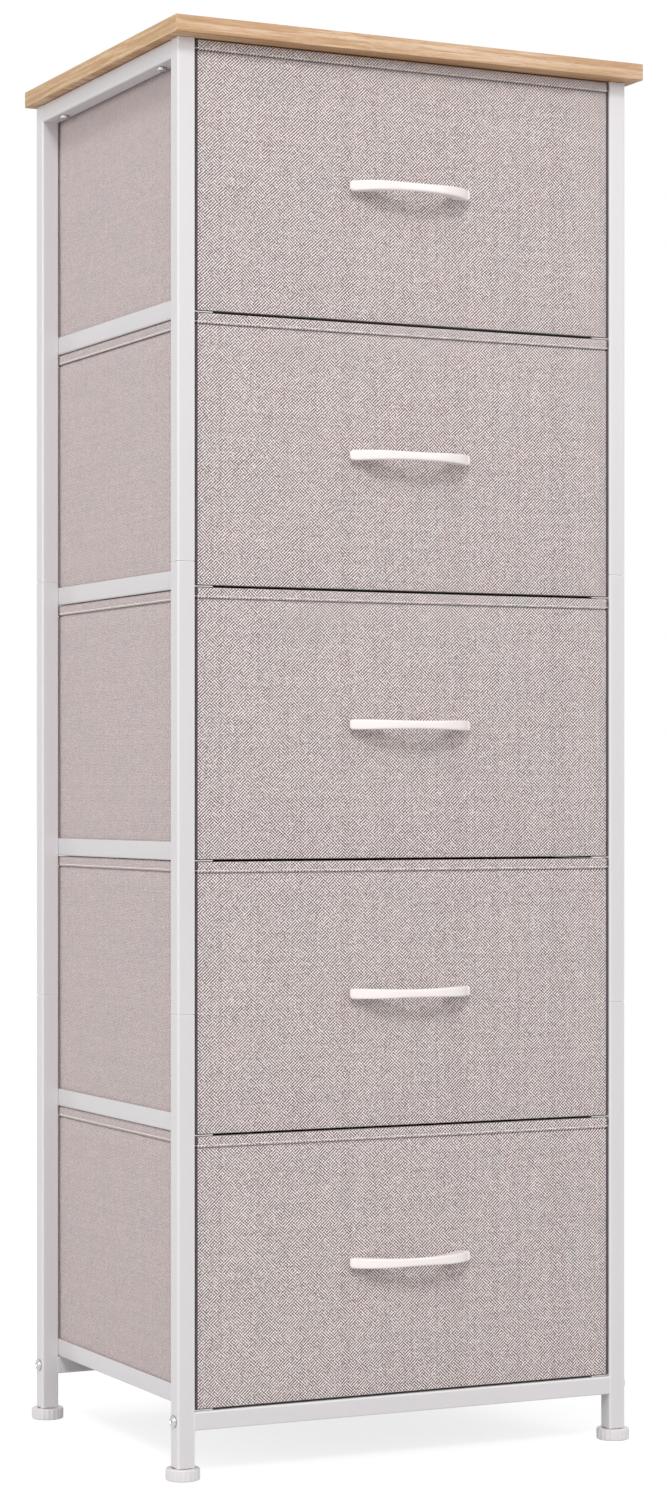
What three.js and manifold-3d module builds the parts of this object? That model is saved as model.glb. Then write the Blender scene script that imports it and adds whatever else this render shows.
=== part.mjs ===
// A narrow tower of five fabric drawers in a white steel tube frame under a wooden top board.
// Millimetres, +Z up, drawer fronts facing -Y, origin on the floor under the middle of the whole.
import * as THREE from "three";
import { mergeVertices } from "three/addons/utils/BufferGeometryUtils.js";
import Module from "manifold-3d";

const wasm = await Module();
wasm.setup();

// Driving sizes of the whole
const frameWidth = 432.4;
const frameDepth = 329.6;
const drawerCount = 5;
const drawerPitch = 229.9; // from one pair of runners to the next
const lowestRunnerHeight = 57.4; // floor to the underside of the lowest runner's ledge
const boardDrop = 1.1; // the board lies this much lower than one more pair of runners would

// Shared clearances
const seatGap = 0.3; // left between pieces that touch
const weldLap = 0.3; // how deep a welded piece runs into its neighbour
const cutOverrun = 2; // how far a cut runs past the face it opens

// Square steel tube
const tubeWidth = 15.9;
const tubeWall = 1;
const tubeCornerRadius = 1.9;
const tubeCornerSteps = 3;

// Top board
const boardThickness = 14.2;
const boardFrontOverhang = 17;
const boardBackOverhang = 7.4;
const boardSideOverhang = 8.8;
const boardCornerRadius = 2.5;
const boardEdgeRadius = 1.2;
const boardEdgeSteps = 2;

// Runners, the folded steel angles that carry the drawers
const runnerThickness = 1.2;
const runnerFlangeHeight = 15.8;
const runnerLedgeWidth = 17;
const runnerEndInset = 1.6; // from the frame's front and back faces
const runnerStopHeight = 7; // upturned tab behind the drawer

// Seams between the stacked sections of each side frame
const seamGap = 0.4;
const lowerSeamRise = 101.7; // above the second pair of runners
const upperSeamRise = 5; // above the flange of the fourth pair of runners
const spigotHeight = 24; // what plugs into the post above
const spigotRootDepth = 12; // what is welded into the post below
const spigotWall = 1.5;

// Bolts through the posts into the two bottom rails
const boltRadius = 3;
const boltHoleRadius = 3.4;
const boltHeadRadius = 5.2;
const boltHeadHeight = 2.7;
const boltSocketRadius = 2.3;
const boltSocketDepth = 1.4;
const boltTipReach = 4; // past the threaded end plate
const railEndPlate = 3;

// Screws that hold the board to the side frames
const boardScrewInset = 52; // from the frame's front and back faces
const boardScrewRadius = 2;
const boardScrewBite = 9; // into the board
const screwHeadRadius = 4.4;
const screwHeadHeight = 2.4;
const screwCrownShare = 0.7; // of the head's radius that stays flat on top
const screwRecessShare = 0.8; // of that crown that the cross recess spans
const screwSlotWidth = 1.2;
const screwSlotDepth = 1.1;
const screwClearance = 0.4;

// Levelling feet
const footHeight = 10.3; // floor to the posts' lower ends
const padRadius = 14.6;
const padBevel = 1.4;
const padFluteCount = 20;
const padFluteDepth = 0.5;
const padFloor = 3; // left under the stud
const studRadius = 4;
const studLength = 38;
const footInsertHeight = 18;

// Fabric drawers
const drawerHeadroom = 0.3; // under the board
const drawerSideGap = 0.5; // from the hem to the runner's flange
const drawerFrontSetback = 1.7; // from the posts' front faces to the hem
const drawerRearGap = 5.9; // from the hem to the posts' back faces
const drawerCornerRadius = 5;
const hemHeight = 9;
const hemRaise = 0.8; // how far the hem stands out from the walls
const fabricThickness = 1.4;
const stiffWallThickness = 3; // two layers of fabric and the sewn-in card
const frontBoardThickness = 5;
const baseBoardThickness = 3;
const boardPocketGap = 0.3; // round the front board in its pocket
const baseBoardGap = 1.5; // round the base board

// Bow handles
const handleLength = 116;
const handleScrewInset = 10; // from its ends to the screws
const handleFootMargin = 2.6; // from the screws to where the bow leaves the fabric
const handleReach = 24.5; // from the fabric to the outside of the bow
const handleStrapThickness = 4; // in the middle, from where it thickens towards the feet
const handleEndReach = 8.6; // from the fabric to the outside of the bow's ends
const handleFullness = 2.6; // power of the outer curve: 2 is a parabola, more is squarer
const handleEndCut = 4.5; // length over which the back's corners are cut away
const handleEndHeight = 8.8;
const handleMiddleHeight = 7.1;
const handleEndRadius = 3.6;
const handleSteps = 9; // on each half of the bow
const handleHeightShare = 0.503; // up the drawer's front
const handleScrewRadius = 2;
const handleScrewBite = 3.2;

// Facets
const roundSides = 12;
const holeSides = 8;
const cornerSteps = 2;
const domeSteps = 4;
const handleCornerSteps = 3;
const flutePoints = 3;

// Heights and places worked out from the sizes above
const halfWidth = frameWidth / 2;
const boardUnderside = lowestRunnerHeight + drawerCount * drawerPitch - boardDrop;
const postTop = boardUnderside - seatGap;
const postCentreX = halfWidth - tubeWidth / 2;
const postFrontY = tubeWidth / 2;
const postBackY = frameDepth - tubeWidth / 2;
const innerFaceX = halfWidth - tubeWidth;
const tubeBore = tubeWidth - 2 * tubeWall;
const runnerHeights = Array.from({ length: drawerCount }, (_, i) => lowestRunnerHeight + i * drawerPitch);
const lowerSeam = runnerHeights[1] + lowerSeamRise;
const upperSeam = runnerHeights[3] + runnerFlangeHeight + upperSeamRise;
const railTop = lowestRunnerHeight - seatGap;
const railCentreZ = railTop - tubeWidth / 2;

const drawerHalfWidth = innerFaceX - runnerThickness - drawerSideGap;
const drawerHeight = drawerPitch - boardDrop - runnerThickness - seatGap - drawerHeadroom;
const drawerBackY = frameDepth - drawerRearGap;
const wallFrontY = drawerFrontSetback + hemRaise;
const wallBackY = drawerBackY - hemRaise;
const wallHalfWidth = drawerHalfWidth - hemRaise;
const pocketFrontY = wallFrontY + fabricThickness;
const pocketBackY = pocketFrontY + frontBoardThickness + 2 * boardPocketGap;
const cavityFrontY = pocketBackY + fabricThickness;
const cavityBackY = wallBackY - stiffWallThickness;
const cavityHalfWidth = wallHalfWidth - stiffWallThickness;
const cavityFloor = fabricThickness;
const handleZ = drawerHeight * handleHeightShare;
const handleBackY = wallFrontY - seatGap;
const handleFrontY = handleBackY - handleReach;
const handleScrewX = handleLength / 2 - handleScrewInset;

// Finishes
const finish = (color, roughness, metalness) => new THREE.MeshStandardMaterial({ color, roughness, metalness });
const whiteSteel = finish(0xe6e3e4, 0.45, 0.1);
const oak = finish(0xdcb78c, 0.6, 0);
const linen = finish(0xc3b6b2, 0.95, 0);
const glossWhite = finish(0xfbf9f8, 0.18, 0);
const mattWhite = finish(0xe9e6e5, 0.55, 0);
const zinc = finish(0xc9c9cc, 0.35, 0.9);
const fibreboard = finish(0xb08d68, 0.85, 0);

// Solid modelling helpers
function solidOf(geometry) {
  const bare = geometry.clone();
  bare.deleteAttribute("normal");
  bare.deleteAttribute("uv");
  const merged = mergeVertices(bare);
  return new wasm.Manifold(
    new wasm.Mesh({
      numProp: 3,
      vertProperties: merged.attributes.position.array,
      triVerts: new Uint32Array(merged.index.array),
    }),
  );
}

function geometryOf(solid) {
  const mesh = solid.getMesh();
  const geometry = new THREE.BufferGeometry();
  geometry.setAttribute("position", new THREE.BufferAttribute(mesh.vertProperties, 3));
  geometry.setIndex(new THREE.BufferAttribute(mesh.triVerts, 1));
  const faceted = geometry.toNonIndexed();
  faceted.computeVertexNormals();
  return faceted;
}

function joined(geometries) {
  return geometryOf(geometries.map(solidOf).reduce((all, one) => all.add(one)));
}

function cut(geometry, tools) {
  return geometryOf(tools.map(solidOf).reduce((rest, tool) => rest.subtract(tool), solidOf(geometry)));
}

function common(a, b) {
  return geometryOf(solidOf(a).intersect(solidOf(b)));
}

// The angles that end each of the equal steps of a quarter turn
function quarterTurn(steps) {
  return Array.from({ length: steps }, (_, i) => ((i + 1) / steps) * (Math.PI / 2));
}

// A box between two opposite corners, given in any order
function block(cornerA, cornerB) {
  const [width, depth, height] = cornerA.map((a, i) => Math.abs(cornerB[i] - a));
  const [x, y, z] = cornerA.map((a, i) => (cornerB[i] + a) / 2);
  return new THREE.BoxGeometry(width, depth, height).translate(x, y, z);
}

function roundedRectangle(width, depth, radius) {
  const x = width / 2 - radius;
  const y = depth / 2 - radius;
  const shape = new THREE.Shape();
  shape.absarc(x, y, radius, 0, Math.PI / 2);
  shape.absarc(-x, y, radius, Math.PI / 2, Math.PI);
  shape.absarc(-x, -y, radius, Math.PI, (3 * Math.PI) / 2);
  shape.absarc(x, -y, radius, (3 * Math.PI) / 2, 2 * Math.PI);
  shape.closePath();
  return shape;
}

// A prism on +Z from z = 0
function prism(shape, height, curveSegments) {
  return new THREE.ExtrudeGeometry(shape, { depth: height, bevelEnabled: false, curveSegments });
}

function rod(radius, length, sides = roundSides) {
  return new THREE.CylinderGeometry(radius, radius, length, sides).rotateX(Math.PI / 2);
}

// A turned piece about +Z, from a profile of [radius, height] that starts and ends on the axis
function turned(profile, sides = roundSides) {
  const points = profile.map(([radius, height]) => new THREE.Vector2(radius, height));
  return new THREE.LatheGeometry(points, sides).rotateX(Math.PI / 2);
}

// Square tube, standing on z = 0 about the Z axis
function tubeOutside(length) {
  return prism(roundedRectangle(tubeWidth, tubeWidth, tubeCornerRadius), length, tubeCornerSteps);
}

function tubeBoreTool(length) {
  const side = tubeBore / 2;
  return block([-side, -side, -cutOverrun], [side, side, length + cutOverrun]);
}

function hollowTube(length) {
  return cut(tubeOutside(length), [tubeBoreTool(length)]);
}

function part(name, geometry, material) {
  const mesh = new THREE.Mesh(geometry, material);
  mesh.name = name;
  return mesh;
}

// Side frames: three stacked sections a side, posts with welded runners
function post(y, bottom, top, side) {
  return hollowTube(top - bottom).translate(side * postCentreX, y, bottom);
}

// The smaller tube on top of a post that the post above slips over
function spigot(y, seam, side) {
  const rootHalf = tubeBore / 2 + weldLap;
  const plugHalf = tubeBore / 2 - seatGap;
  const boreHalf = plugHalf - spigotWall;
  const root = block([-rootHalf, -rootHalf, -spigotRootDepth], [rootHalf, rootHalf, 0]);
  const plug = block([-plugHalf, -plugHalf, -spigotRootDepth], [plugHalf, plugHalf, spigotHeight]);
  const bore = block(
    [-boreHalf, -boreHalf, -spigotRootDepth - cutOverrun],
    [boreHalf, boreHalf, spigotHeight + cutOverrun],
  );
  return cut(joined([root, plug]), [bore]).translate(side * postCentreX, y, seam);
}

// A runner: flange against the posts, ledge under the drawer, tab behind it
function runner(height, side) {
  const outside = side * (innerFaceX + weldLap);
  const flangeInside = side * (innerFaceX - runnerThickness);
  const ledgeInside = side * (innerFaceX - runnerLedgeWidth);
  const front = runnerEndInset;
  const back = frameDepth - runnerEndInset;
  const flange = block([outside, front, height], [flangeInside, back, height + runnerFlangeHeight]);
  const ledge = block([outside, front, height], [ledgeInside, back, height + runnerThickness]);
  const stop = block(
    [outside, back - runnerThickness, height],
    [ledgeInside, back, height + runnerStopHeight],
  );
  return joined([flange, ledge, stop]);
}

function boltHole(y, side) {
  const length = tubeWidth + 2 * cutOverrun;
  return rod(boltHoleRadius, length).rotateY(Math.PI / 2).translate(side * postCentreX, y, railCentreZ);
}

function boardScrewPlaces() {
  return [boardScrewInset, frameDepth - boardScrewInset];
}

// The tube that joins the posts under the board, with holes for the board's screws
function topRail(side) {
  const start = tubeWidth - weldLap;
  const length = frameDepth - 2 * start;
  const bore = length - 2 * weldLap;
  const half = tubeBore / 2;
  const solid = tubeOutside(length);
  const hollow = block([-half, -half, weldLap], [half, half, weldLap + bore]);
  const tube = cut(solid, [hollow])
    .rotateX(-Math.PI / 2)
    .translate(side * postCentreX, start, postTop - tubeWidth / 2);
  const holes = boardScrewPlaces().map((y) =>
    rod(boardScrewRadius + screwClearance, tubeWidth + 2 * cutOverrun).translate(
      side * postCentreX,
      y,
      postTop - tubeWidth / 2,
    ),
  );
  return cut(tube, holes);
}

function upperSection(side) {
  const bottom = upperSeam + seamGap;
  return joined([
    post(postFrontY, bottom, postTop, side),
    post(postBackY, bottom, postTop, side),
    topRail(side),
    runner(runnerHeights[4], side),
  ]);
}

function middleSection(side) {
  const bottom = lowerSeam + seamGap;
  return joined([
    post(postFrontY, bottom, upperSeam, side),
    post(postBackY, bottom, upperSeam, side),
    spigot(postFrontY, upperSeam, side),
    spigot(postBackY, upperSeam, side),
    runner(runnerHeights[2], side),
    runner(runnerHeights[3], side),
  ]);
}

function lowerSection(side) {
  const section = joined([
    post(postFrontY, footHeight, lowerSeam, side),
    post(postBackY, footHeight, lowerSeam, side),
    spigot(postFrontY, lowerSeam, side),
    spigot(postBackY, lowerSeam, side),
    runner(runnerHeights[0], side),
    runner(runnerHeights[1], side),
  ]);
  return cut(section, [boltHole(postFrontY, side), boltHole(postBackY, side)]);
}

function sideFrame(sideName, side) {
  const group = new THREE.Group();
  group.add(part(`${sideName}_side_frame_upper`, upperSection(side), whiteSteel));
  group.add(part(`${sideName}_side_frame_middle`, middleSection(side), whiteSteel));
  group.add(part(`${sideName}_side_frame_lower`, lowerSection(side), whiteSteel));
  return group;
}

// Bottom rails between the side frames, with a threaded plate in each end
function bottomRail(y) {
  const length = 2 * (innerFaceX - seatGap);
  const half = tubeBore / 2;
  const hollow = block([-half, -half, railEndPlate], [half, half, length - railEndPlate]);
  const threads = rod(boltHoleRadius, length + 2 * cutOverrun).translate(0, 0, length / 2);
  return cut(tubeOutside(length), [hollow, threads])
    .rotateY(Math.PI / 2)
    .translate(-length / 2, y, railCentreZ);
}

// A round-headed socket bolt, head out on +Z, shank down from z = 0
function socketBolt(shankLength) {
  const dome = quarterTurn(domeSteps)
    .slice(0, -1)
    .map((angle) => [boltHeadRadius * Math.cos(angle), seatGap + boltHeadHeight * Math.sin(angle)]);
  const body = turned([
    [0, -shankLength],
    [boltRadius, -shankLength],
    [boltRadius, seatGap],
    [boltHeadRadius, seatGap],
    ...dome,
    [0, seatGap + boltHeadHeight],
  ]);
  const socket = rod(boltSocketRadius, 2 * boltSocketDepth, 6).translate(0, 0, seatGap + boltHeadHeight);
  return cut(body, [socket]);
}

function frameBolt(side) {
  const shank = tubeWidth + seatGap + railEndPlate + boltTipReach;
  return socketBolt(shank).rotateY((side * Math.PI) / 2);
}

// A pan-head screw, head out on +Z above z = 0, with a cross recess
function panScrew(radius, shankLength) {
  const rim = screwHeadHeight / 2;
  const crown = screwHeadRadius * screwCrownShare;
  const body = turned([
    [0, -shankLength],
    [radius, -shankLength],
    [radius, seatGap],
    [screwHeadRadius, seatGap],
    [screwHeadRadius, seatGap + rim],
    [crown, seatGap + screwHeadHeight],
    [0, seatGap + screwHeadHeight],
  ]);
  const top = seatGap + screwHeadHeight;
  const arm = crown * screwRecessShare;
  const slot = screwSlotWidth / 2;
  const across = block([-arm, -slot, top - screwSlotDepth], [arm, slot, top + cutOverrun]);
  const along = block([-slot, -arm, top - screwSlotDepth], [slot, arm, top + cutOverrun]);
  return cut(body, [across, along]);
}

// The top board, drilled from below for its four screws
function topBoard() {
  const width = frameWidth + 2 * boardSideOverhang;
  const depth = frameDepth + boardFrontOverhang + boardBackOverhang;
  const board = new THREE.ExtrudeGeometry(roundedRectangle(width, depth, boardCornerRadius), {
    depth: boardThickness - 2 * boardEdgeRadius,
    bevelThickness: boardEdgeRadius,
    bevelSize: boardEdgeRadius,
    bevelOffset: -boardEdgeRadius,
    bevelSegments: boardEdgeSteps,
    curveSegments: cornerSteps,
  });
  board.translate(0, depth / 2 - boardFrontOverhang, boardUnderside + boardEdgeRadius);
  const holeDepth = boardScrewBite + seatGap;
  const holes = [-1, 1].flatMap((side) =>
    boardScrewPlaces().map((y) =>
      rod(boardScrewRadius + screwClearance, holeDepth + cutOverrun).translate(
        side * postCentreX,
        y,
        boardUnderside + (holeDepth - cutOverrun) / 2,
      ),
    ),
  );
  return cut(board, holes);
}

// Levelling foot: insert in the post, threaded stud, fluted pad
function footInsert() {
  const half = tubeBore / 2 - seatGap;
  const plug = block([-half, -half, 0], [half, half, footInsertHeight]);
  const thread = rod(studRadius + seatGap, footInsertHeight + 2 * cutOverrun);
  return cut(plug, [thread.translate(0, 0, footInsertHeight / 2)]);
}

function footStud() {
  return rod(studRadius, studLength).translate(0, 0, studLength / 2);
}

function footPad() {
  const count = padFluteCount * flutePoints;
  const outline = Array.from({ length: count }, (_, i) => {
    const angle = (i / count) * 2 * Math.PI;
    const dip = (1 - Math.cos(padFluteCount * angle)) / 2;
    const radius = padRadius - padFluteDepth * dip;
    return new THREE.Vector2(radius * Math.cos(angle), radius * Math.sin(angle));
  });
  const height = footHeight - seatGap;
  const pad = new THREE.ExtrudeGeometry(new THREE.Shape(outline), {
    depth: height - 2 * padBevel,
    bevelThickness: padBevel,
    bevelSize: padBevel,
    bevelOffset: -padBevel,
    bevelSegments: 1,
  }).translate(0, 0, padBevel);
  const boreDepth = height - padFloor;
  const bore = rod(studRadius + seatGap, boreDepth + cutOverrun);
  return cut(pad, [bore.translate(0, 0, padFloor + (boreDepth + cutOverrun) / 2)]);
}

function foot(cornerName, x, y) {
  const group = new THREE.Group();
  group.position.set(x, y, 0);
  const insert = part(`${cornerName}_foot_insert`, footInsert(), mattWhite);
  insert.position.z = footHeight;
  const stud = part(`${cornerName}_foot_stud`, footStud(), zinc);
  stud.position.z = padFloor + seatGap;
  group.add(insert, stud, part(`${cornerName}_foot_pad`, footPad(), mattWhite));
  return group;
}

// A fabric drawer, built with its underside on z = 0
function drawerOutline(halfWidth, frontY, backY, radius) {
  const middleY = (frontY + backY) / 2;
  const outline = roundedRectangle(2 * halfWidth, backY - frontY, radius);
  return (bottom, top) => prism(outline, top - bottom, cornerSteps).translate(0, middleY, bottom);
}

function handleScrewHole(x) {
  const length = cavityFrontY - wallFrontY + 2 * cutOverrun;
  return rod(handleScrewRadius + screwClearance, length, holeSides)
    .rotateX(Math.PI / 2)
    .translate(x, (wallFrontY + cavityFrontY) / 2, handleZ);
}

const handleScrewPlaces = [-handleScrewX, handleScrewX];

function drawerBin() {
  const walls = drawerOutline(wallHalfWidth, wallFrontY, wallBackY, drawerCornerRadius);
  const hem = drawerOutline(
    drawerHalfWidth,
    drawerFrontSetback,
    drawerBackY,
    drawerCornerRadius + hemRaise,
  );
  const inside = drawerOutline(
    cavityHalfWidth,
    cavityFrontY,
    cavityBackY,
    drawerCornerRadius - stiffWallThickness,
  );
  const shell = joined([walls(0, drawerHeight), hem(drawerHeight - hemHeight, drawerHeight)]);
  const cavity = inside(cavityFloor, drawerHeight + cutOverrun);
  const pocket = block(
    [-cavityHalfWidth, pocketFrontY, cavityFloor],
    [cavityHalfWidth, pocketBackY, drawerHeight - fabricThickness],
  );
  return cut(shell, [cavity, pocket, ...handleScrewPlaces.map(handleScrewHole)]);
}

function frontBoard() {
  const board = block(
    [-cavityHalfWidth + boardPocketGap, pocketFrontY + boardPocketGap, cavityFloor + boardPocketGap],
    [
      cavityHalfWidth - boardPocketGap,
      pocketBackY - boardPocketGap,
      drawerHeight - fabricThickness - boardPocketGap,
    ],
  );
  return cut(board, handleScrewPlaces.map(handleScrewHole));
}

function baseBoard() {
  const width = 2 * (cavityHalfWidth - baseBoardGap);
  const depth = cavityBackY - cavityFrontY - 2 * baseBoardGap;
  const radius = Math.max(drawerCornerRadius - stiffWallThickness, baseBoardGap);
  return prism(roundedRectangle(width, depth, radius), baseBoardThickness, cornerSteps).translate(
    0,
    (cavityFrontY + cavityBackY) / 2,
    cavityFloor + seatGap,
  );
}

// The bow seen from above: outer curve, round the end, cut corner, inner curve back
function handlePlan() {
  const halfLength = handleLength / 2;
  const outerEnd = halfLength - handleEndRadius;
  const innerEnd = handleScrewX - handleFootMargin;
  const outer = (x) => handleReach - (handleReach - handleEndReach) * Math.abs(x / outerEnd) ** handleFullness;
  const inner = (x) => (handleReach - handleStrapThickness) * (1 - (x / innerEnd) ** 2);
  const outerPoints = Array.from({ length: 2 * handleSteps + 1 }, (_, i) => {
    const x = outerEnd * (i / handleSteps - 1);
    return new THREE.Vector2(x, outer(x));
  });
  const innerPoints = Array.from({ length: 2 * handleSteps + 1 }, (_, i) => {
    const x = innerEnd * (1 - i / handleSteps);
    return new THREE.Vector2(x, inner(x));
  });
  const roundOver = (side) =>
    quarterTurn(handleCornerSteps).map(
      (angle) =>
        new THREE.Vector2(
          side * (outerEnd + handleEndRadius * Math.sin(angle)),
          handleEndReach - handleEndRadius * (1 - Math.cos(angle)),
        ),
    );
  return new THREE.Shape([
    ...outerPoints,
    ...roundOver(1),
    new THREE.Vector2(halfLength - handleEndCut, 0),
    ...innerPoints,
    new THREE.Vector2(handleEndCut - halfLength, 0),
    ...roundOver(-1).reverse(),
  ].reverse());
}

// The bow seen from the front: full height at its rounded ends, waisted between them
function handleFront() {
  const halfLength = handleLength / 2;
  const halfHeight = (x) => {
    const waist = Math.cos((x / halfLength) * (Math.PI / 2)) ** 2;
    return (handleEndHeight - (handleEndHeight - handleMiddleHeight) * waist) / 2;
  };
  const straight = halfLength - handleEndRadius;
  const top = Array.from({ length: handleSteps + 1 }, (_, i) => {
    const x = straight * ((2 * i) / handleSteps - 1);
    return new THREE.Vector2(x, halfHeight(x));
  });
  const flatHalf = handleEndHeight / 2 - handleEndRadius;
  const corner = quarterTurn(handleCornerSteps).map(
    (angle) =>
      new THREE.Vector2(
        straight + handleEndRadius * Math.sin(angle),
        flatHalf + handleEndRadius * Math.cos(angle),
      ),
  );
  const mirrorX = (p) => new THREE.Vector2(-p.x, p.y);
  const upper = [...corner.map(mirrorX).reverse(), ...top, ...corner];
  const lower = upper.map((p) => new THREE.Vector2(p.x, -p.y)).reverse();
  return new THREE.Shape([...upper, ...lower].reverse());
}

function handle() {
  const plan = prism(handlePlan(), handleEndHeight + 2 * cutOverrun, 1)
    .translate(0, 0, -handleEndHeight / 2 - cutOverrun)
    .rotateZ(Math.PI);
  const front = prism(handleFront(), handleReach + 2 * cutOverrun, 1)
    .rotateX(Math.PI / 2)
    .translate(0, cutOverrun, 0);
  const holes = handleScrewPlaces.map((x) =>
    rod(handleScrewRadius + screwClearance, 2 * (handleScrewBite + seatGap), holeSides)
      .rotateX(Math.PI / 2)
      .translate(x, 0, 0),
  );
  return cut(common(plan, front), holes).translate(0, handleBackY, handleZ);
}

function handleScrew(x) {
  const shank = cavityFrontY - handleBackY + handleScrewBite;
  return panScrew(handleScrewRadius, shank).rotateX(-Math.PI / 2).translate(x, cavityFrontY, handleZ);
}

// Drawer 1 is the top one
function drawer(number) {
  const group = new THREE.Group();
  const ledge = runnerHeights[drawerCount - number];
  group.position.z = ledge + runnerThickness + seatGap;
  const name = `drawer_${number}`;
  group.add(
    part(`${name}_bin`, drawerBin(), linen),
    part(`${name}_front_board`, frontBoard(), fibreboard),
    part(`${name}_base_board`, baseBoard(), linen),
    part(`${name}_handle`, handle(), glossWhite),
    part(`${name}_handle_screw_left`, handleScrew(handleScrewPlaces[0]), zinc),
    part(`${name}_handle_screw_right`, handleScrew(handleScrewPlaces[1]), zinc),
  );
  return group;
}

// Assembly, with the posts' front faces on y = 0 until the whole is centred
const dresser = new THREE.Group();
dresser.position.y = -(handleFrontY + frameDepth + boardBackOverhang) / 2;
dresser.add(part("top_board", topBoard(), oak));
dresser.add(part("front_bottom_rail", bottomRail(postFrontY), whiteSteel));
dresser.add(part("rear_bottom_rail", bottomRail(postBackY), whiteSteel));

for (const [sideName, side] of [["left", -1], ["right", 1]]) {
  dresser.add(sideFrame(sideName, side));
  for (const [endName, y, screwY] of [
    ["front", postFrontY, boardScrewInset],
    ["rear", postBackY, frameDepth - boardScrewInset],
  ]) {
    const cornerName = `${endName}_${sideName}`;
    const bolt = part(`${cornerName}_frame_bolt`, frameBolt(side), zinc);
    bolt.position.set(side * halfWidth, y, railCentreZ);
    const screwShank = tubeWidth + seatGap + boardScrewBite;
    const screw = panScrew(boardScrewRadius, screwShank).rotateX(Math.PI);
    const boardScrew = part(`${cornerName}_board_screw`, screw, zinc);
    boardScrew.position.set(side * postCentreX, screwY, postTop - tubeWidth);
    dresser.add(bolt, boardScrew, foot(cornerName, side * postCentreX, y));
  }
}

for (let number = 1; number <= drawerCount; number += 1) dresser.add(drawer(number));

const assembly = new THREE.Group();
assembly.add(dresser);
export default assembly;
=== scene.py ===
import math

import bpy
import numpy as np
from mathutils import Matrix, Vector, noise


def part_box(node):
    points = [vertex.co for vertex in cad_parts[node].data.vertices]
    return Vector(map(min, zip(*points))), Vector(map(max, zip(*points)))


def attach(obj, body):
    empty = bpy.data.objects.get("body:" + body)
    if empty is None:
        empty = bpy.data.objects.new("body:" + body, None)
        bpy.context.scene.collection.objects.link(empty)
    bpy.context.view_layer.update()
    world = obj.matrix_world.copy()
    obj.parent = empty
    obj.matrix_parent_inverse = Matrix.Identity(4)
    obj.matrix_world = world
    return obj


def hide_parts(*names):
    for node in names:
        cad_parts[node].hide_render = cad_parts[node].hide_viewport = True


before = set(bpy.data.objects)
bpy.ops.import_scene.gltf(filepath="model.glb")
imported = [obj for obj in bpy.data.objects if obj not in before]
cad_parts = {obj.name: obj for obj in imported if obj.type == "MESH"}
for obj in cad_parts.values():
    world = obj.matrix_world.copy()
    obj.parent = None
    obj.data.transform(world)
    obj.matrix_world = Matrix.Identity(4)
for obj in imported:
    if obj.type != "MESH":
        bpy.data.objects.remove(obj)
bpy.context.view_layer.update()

# Sizes in metres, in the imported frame: x across, drawer fronts towards -y, z up from the floor.
DRAWERS = 5
PITCH = 0.2299
LOWEST_LEDGE = 0.0574
LEDGE = 0.0012
SHEET = 0.0009
DRAWER_LIFT = 0.0003
DRAWER_HEIGHT = 0.227
WALL_HALF = 0.1981
WALL_FRONT = -0.15565
WALL_BACK = 0.16555
TUBE = 0.0159
TUBE_CORNER = 0.0016
TUBE_INNER_CORNER = 0.0004
TUBE_WALL = 0.001
TUBE_EDGE = 0.0003
TUBE_STEPS = 6
SHOULDER = 0.0005
WELD = 0.001
POST_X = 0.20825
POST_Y = (-0.1494, 0.1643)
INNER_FACE = POST_X - TUBE / 2
OUTER_FACE = POST_X + TUBE / 2
POST_TOP = 1.2055
POST_FOOT = 0.0103
SEAMS = (0.389, 0.7679)
SEAM_GAP = 0.0004
RAIL_Z = 0.04915
RUNNER_FRONT = -0.1549
RUNNER_BACK = 0.17065
FLANGE_HEIGHT = 0.0158
LEDGE_WIDTH = 0.017
FLANGE_SINK = 0.0002
SHEET_LIP = 0.00035
STOP_HEIGHT = 0.007
WEAVE_MAP = "Weave"
SIDES = (("left", -1), ("right", 1))
# Each end's name, the place of its posts and the direction from them to the middle
ENDS = (("front", POST_Y[0], 1), ("rear", POST_Y[1], -1))
CORNERS = ((1, 1), (-1, 1), (-1, -1), (1, -1))


def ledge_z(number):
    """Underside of the runner ledge under a drawer, where drawer 1 is the top one."""
    return LOWEST_LEDGE + (DRAWERS - number) * PITCH


def drawer_z(number):
    return ledge_z(number) + LEDGE + DRAWER_LIFT


def linear(red, green, blue):
    """A colour given as 0 to 255 on screen, in the linear values that nodes take."""
    def one(v):
        v /= 255
        return v / 12.92 if v <= 0.04045 else ((v + 0.055) / 1.055) ** 2.4
    return (one(red), one(green), one(blue), 1.0)


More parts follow.
